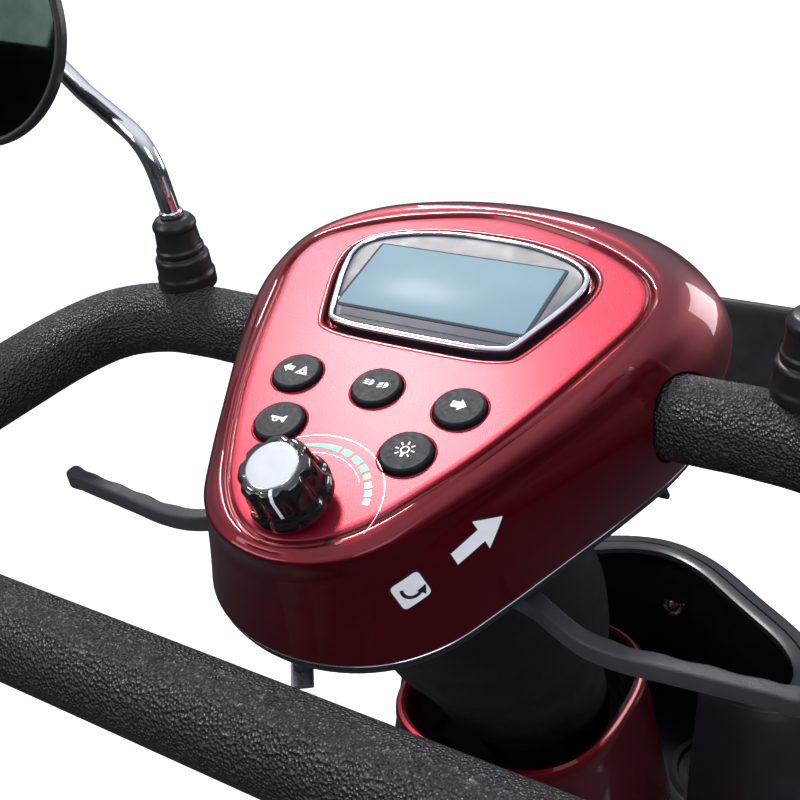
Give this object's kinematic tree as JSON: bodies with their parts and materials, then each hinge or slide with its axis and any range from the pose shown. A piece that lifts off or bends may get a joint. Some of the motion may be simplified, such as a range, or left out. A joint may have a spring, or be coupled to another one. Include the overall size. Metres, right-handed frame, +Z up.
{
  "type": "mobility scooter",
  "caption": "Seated mobility scooter with a loop handlebar, display console, round mirrors, swivel seat and sprung finger levers.",
  "frame": {"origin": "centre of the bounding box in plan, on the ground under the tyres", "axes": "+X to the rider's right, +Y forward, +Z up"},
  "size_m": [0.626, 1.3998, 1.1755],
  "materials": {
    "chassis_frame": "black powder coat",
    "floor_deck": "satin black moulding",
    "floor_mat": "ribbed matt rubber",
    "front_shroud": "glossy metallic candy red paint on moulded plastic",
    "front_fairing": "gloss black moulding",
    "headlight": "clear lamp lens",
    "front_bumper": "black powder coat",
    "rear_body_cover": "glossy metallic candy red paint on moulded plastic",
    "rear_bumper": "satin black moulding",
    "tail_light": "red lamp lens",
    "battery_pack": "battery case",
    "transaxle": "cast housing",
    "seat_post": "black powder coat",
    "front_axle": "black powder coat",
    "steering_stem": "black powder coat",
    "tiller_column": "black powder coat",
    "column_cover": "satin black moulding",
    "console_top_shell": "glossy metallic candy red paint on moulded plastic",
    "console_bottom_shell": "satin black moulding",
    "lcd_module": "grey-blue display",
    "lcd_lens": "clear display lens",
    "handlebar_tube": "zinc-plated",
    "handlebar_grip": "pebbled black grip skin",
    "mirror_boot_left": "satin black keys with white symbols",
    "mirror_boot_right": "satin black keys with white symbols",
    "front_basket": "satin black moulding",
    "throttle_lever": "black powder coat",
    "tilt_lever": "zinc-plated",
    "speed_knob": "gloss black moulding",
    "button_left_turn": "satin black keys with white symbols",
    "button_headlight": "satin black keys with white symbols",
    "button_right_turn": "satin black keys with white symbols",
    "button_horn": "satin black keys with white symbols",
    "button_light": "satin black keys with white symbols",
    "mirror_arm_left": "polished",
    "mirror_arm_right": "polished",
    "mirror_head_left": "satin black moulding",
    "mirror_head_right": "satin black moulding",
    "mirror_glass_left": "silvered convex glass",
    "mirror_glass_right": "silvered convex glass",
    "seat_frame": "black powder coat",
    "seat_cushion": "black vinyl",
    "seat_back": "black vinyl",
    "armrest_left": "black powder coat",
    "armrest_right": "black powder coat",
    "arm_pad_left": "black vinyl",
    "arm_pad_right": "black vinyl",
    "swivel_lever": "black powder coat",
    "steering_knuckle_left": "black powder coat",
    "steering_knuckle_right": "black powder coat",
    "tie_rod": "zinc-plated",
    "tyre_front_left": "matt tread",
    "rim_front_left": "satin silver",
    "tyre_front_right": "matt tread",
    "rim_front_right": "satin silver",
    "tyre_rear_left": "matt tread",
    "rim_rear_left": "satin silver",
    "tyre_rear_right": "matt tread",
    "rim_rear_right": "satin silver"
  },
  "bodies": {
    "chassis": {"chassis_frame": "chassis_frame", "floor_deck": "floor_deck", "floor_mat": "floor_mat", "front_shroud": "front_shroud", "front_fairing": "front_fairing", "headlight": "headlight", "front_bumper": "front_bumper", "rear_body_cover": "rear_body_cover", "rear_bumper": "rear_bumper", "tail_light": "tail_light", "battery_pack": "battery_pack", "transaxle": "transaxle", "seat_post": "seat_post", "front_axle": "front_axle"},
    "steering_column": {"steering_stem": "steering_stem"},
    "tiller": {"tiller_column": "tiller_column", "column_cover": "column_cover", "console_top_shell": "console_top_shell", "console_bottom_shell": "console_bottom_shell", "lcd_module": "lcd_module", "lcd_lens": "lcd_lens", "handlebar_tube": "handlebar_tube", "handlebar_grip": "handlebar_grip", "mirror_boot_left": "mirror_boot_left", "mirror_boot_right": "mirror_boot_right", "front_basket": "front_basket"},
    "throttle": {"throttle_lever": "throttle_lever"},
    "tilt_release": {"tilt_lever": "tilt_lever"},
    "speed_dial": {"speed_knob": "speed_knob"},
    "key_left_turn": {"button_left_turn": "button_left_turn"},
    "key_headlight": {"button_headlight": "button_headlight"},
    "key_right_turn": {"button_right_turn": "button_right_turn"},
    "key_horn": {"button_horn": "button_horn"},
    "key_light": {"button_light": "button_light"},
    "mirror_stalk_left": {"mirror_arm_left": "mirror_arm_left"},
    "mirror_stalk_right": {"mirror_arm_right": "mirror_arm_right"},
    "mirror_left": {"mirror_head_left": "mirror_head_left", "mirror_glass_left": "mirror_glass_left"},
    "mirror_right": {"mirror_head_right": "mirror_head_right", "mirror_glass_right": "mirror_glass_right"},
    "seat": {"seat_frame": "seat_frame", "seat_cushion": "seat_cushion"},
    "backrest": {"seat_back": "seat_back"},
    "arm_left": {"armrest_left": "armrest_left", "arm_pad_left": "arm_pad_left"},
    "arm_right": {"armrest_right": "armrest_right", "arm_pad_right": "arm_pad_right"},
    "seat_release": {"swivel_lever": "swivel_lever"},
    "knuckle_left": {"steering_knuckle_left": "steering_knuckle_left"},
    "knuckle_right": {"steering_knuckle_right": "steering_knuckle_right"},
    "tie": {"tie_rod": "tie_rod"},
    "wheel_front_left": {"tyre_front_left": "tyre_front_left", "rim_front_left": "rim_front_left"},
    "wheel_front_right": {"tyre_front_right": "tyre_front_right", "rim_front_right": "rim_front_right"},
    "wheel_rear_left": {"tyre_rear_left": "tyre_rear_left", "rim_rear_left": "rim_rear_left"},
    "wheel_rear_right": {"tyre_rear_right": "tyre_rear_right", "rim_rear_right": "rim_rear_right"}
  },
  "joints": [
    {"name": "steer", "type": "hinge", "parent": "chassis", "child": "steering_column", "pos_m": [0, 0.2804, 0.715], "axis": [0, -0.342, 0.9397], "range_deg": [-30, 30]},
    {"name": "tiller_tilt", "type": "hinge", "parent": "steering_column", "child": "tiller", "pos_m": [0, 0.2804, 0.715], "axis": [1, 0, 0], "range_deg": [-25, 3]},
    {"name": "throttle_rock", "type": "hinge", "parent": "tiller", "child": "throttle", "pos_m": [0, 0.10895, 0.91988], "axis": [0, -0.2334, 0.9724], "range_deg": [-12, 12], "stiffness_Nm_per_rad": 2},
    {"name": "tilt_lever_pull", "type": "hinge", "parent": "tiller", "child": "tilt_release", "pos_m": [-0.024, 0.07562, 0.90879], "axis": [-1, 0, 0], "range_deg": [0, 14], "stiffness_Nm_per_rad": 0.6},
    {"name": "speed_dial_turn", "type": "hinge", "parent": "tiller", "child": "speed_dial", "pos_m": [0, 0.03109, 0.97049], "axis": [0, -0.5761, 0.8173], "range_deg": [-135, 135]},
    {"name": "press_left_turn", "type": "slide", "parent": "tiller", "child": "key_left_turn", "axis": [0, 0.3936, -0.9193], "range_m": [0, 0.0015], "stiffness_N_per_m": 900},
    {"name": "press_headlight", "type": "slide", "parent": "tiller", "child": "key_headlight", "axis": [0, 0.3936, -0.9193], "range_m": [0, 0.0015], "stiffness_N_per_m": 900},
    {"name": "press_right_turn", "type": "slide", "parent": "tiller", "child": "key_right_turn", "axis": [0, 0.3936, -0.9193], "range_m": [0, 0.0015], "stiffness_N_per_m": 900},
    {"name": "press_horn", "type": "slide", "parent": "tiller", "child": "key_horn", "axis": [0, 0.3936, -0.9193], "range_m": [0, 0.0015], "stiffness_N_per_m": 900},
    {"name": "press_light", "type": "slide", "parent": "tiller", "child": "key_light", "axis": [0, 0.3936, -0.9193], "range_m": [0, 0.0015], "stiffness_N_per_m": 900},
    {"name": "mirror_stalk_turn_left", "type": "hinge", "parent": "tiller", "child": "mirror_stalk_left", "pos_m": [-0.1529, 0.14903, 1.0164], "axis": [0, -0.2334, 0.9724], "range_deg": [-40, 40]},
    {"name": "mirror_turn_left", "type": "hinge", "parent": "mirror_stalk_left", "child": "mirror_left", "pos_m": [-0.23, 0.148, 1.108], "axis": [0, -0.2334, 0.9724], "range_deg": [-18, 6]},
    {"name": "mirror_stalk_turn_right", "type": "hinge", "parent": "tiller", "child": "mirror_stalk_right", "pos_m": [0.1529, 0.14903, 1.0164], "axis": [0, -0.2334, 0.9724], "range_deg": [-40, 40]},
    {"name": "mirror_turn_right", "type": "hinge", "parent": "mirror_stalk_right", "child": "mirror_right", "pos_m": [0.23, 0.148, 1.108], "axis": [0, -0.2334, 0.9724], "range_deg": [-6, 18]},
    {"name": "seat_swivel", "type": "hinge", "parent": "chassis", "child": "seat", "pos_m": [0, -0.35, 0.475], "axis": [0, 0, 1], "range_deg": [-90, 90]},
    {"name": "backrest_fold", "type": "hinge", "parent": "seat", "child": "backrest", "pos_m": [0, -0.565, 0.64], "axis": [1, 0, 0], "range_deg": [-90, 0]},
    {"name": "armrest_flip_left", "type": "hinge", "parent": "seat", "child": "arm_left", "pos_m": [-0.272, -0.5, 0.785], "axis": [1, 0, 0], "range_deg": [0, 90]},
    {"name": "armrest_flip_right", "type": "hinge", "parent": "seat", "child": "arm_right", "pos_m": [0.272, -0.5, 0.785], "axis": [1, 0, 0], "range_deg": [0, 90]},
    {"name": "swivel_lever_pull", "type": "hinge", "parent": "seat", "child": "seat_release", "pos_m": [0.13, -0.25, 0.489], "axis": [0, 0, -1], "range_deg": [0, 12], "stiffness_Nm_per_rad": 0.6},
    {"name": "knuckle_turn_left", "type": "hinge", "parent": "chassis", "child": "knuckle_left", "pos_m": [-0.178, 0.5, 0.165], "axis": [0, 0, 1], "range_deg": [-30, 30]},
    {"name": "knuckle_turn_right", "type": "hinge", "parent": "chassis", "child": "knuckle_right", "pos_m": [0.178, 0.5, 0.165], "axis": [0, 0, 1], "range_deg": [-30, 30]},
    {"name": "tie_rod_shift", "type": "slide", "parent": "chassis", "child": "tie", "axis": [1, 0, 0], "range_m": [-0.04, 0.04]},
    {"name": "spin_front_left", "type": "hinge", "parent": "knuckle_left", "child": "wheel_front_left", "pos_m": [-0.245, 0.5, 0.165], "axis": [1, 0, 0], "continuous": true},
    {"name": "spin_front_right", "type": "hinge", "parent": "knuckle_right", "child": "wheel_front_right", "pos_m": [0.245, 0.5, 0.165], "axis": [1, 0, 0], "continuous": true},
    {"name": "spin_rear_left", "type": "hinge", "parent": "chassis", "child": "wheel_rear_left", "pos_m": [-0.245, -0.47, 0.165], "axis": [1, 0, 0], "continuous": true},
    {"name": "spin_rear_right", "type": "hinge", "parent": "chassis", "child": "wheel_rear_right", "pos_m": [0.245, -0.47, 0.165], "axis": [1, 0, 0], "continuous": true}
  ],
  "couplings": [
    {"joint": "knuckle_turn_left", "follows": "steer", "ratio": 1},
    {"joint": "knuckle_turn_right", "follows": "steer", "ratio": 1},
    {"joint": "tie_rod_shift", "follows": "steer", "m_per_rad": 0.075}
  ]
}
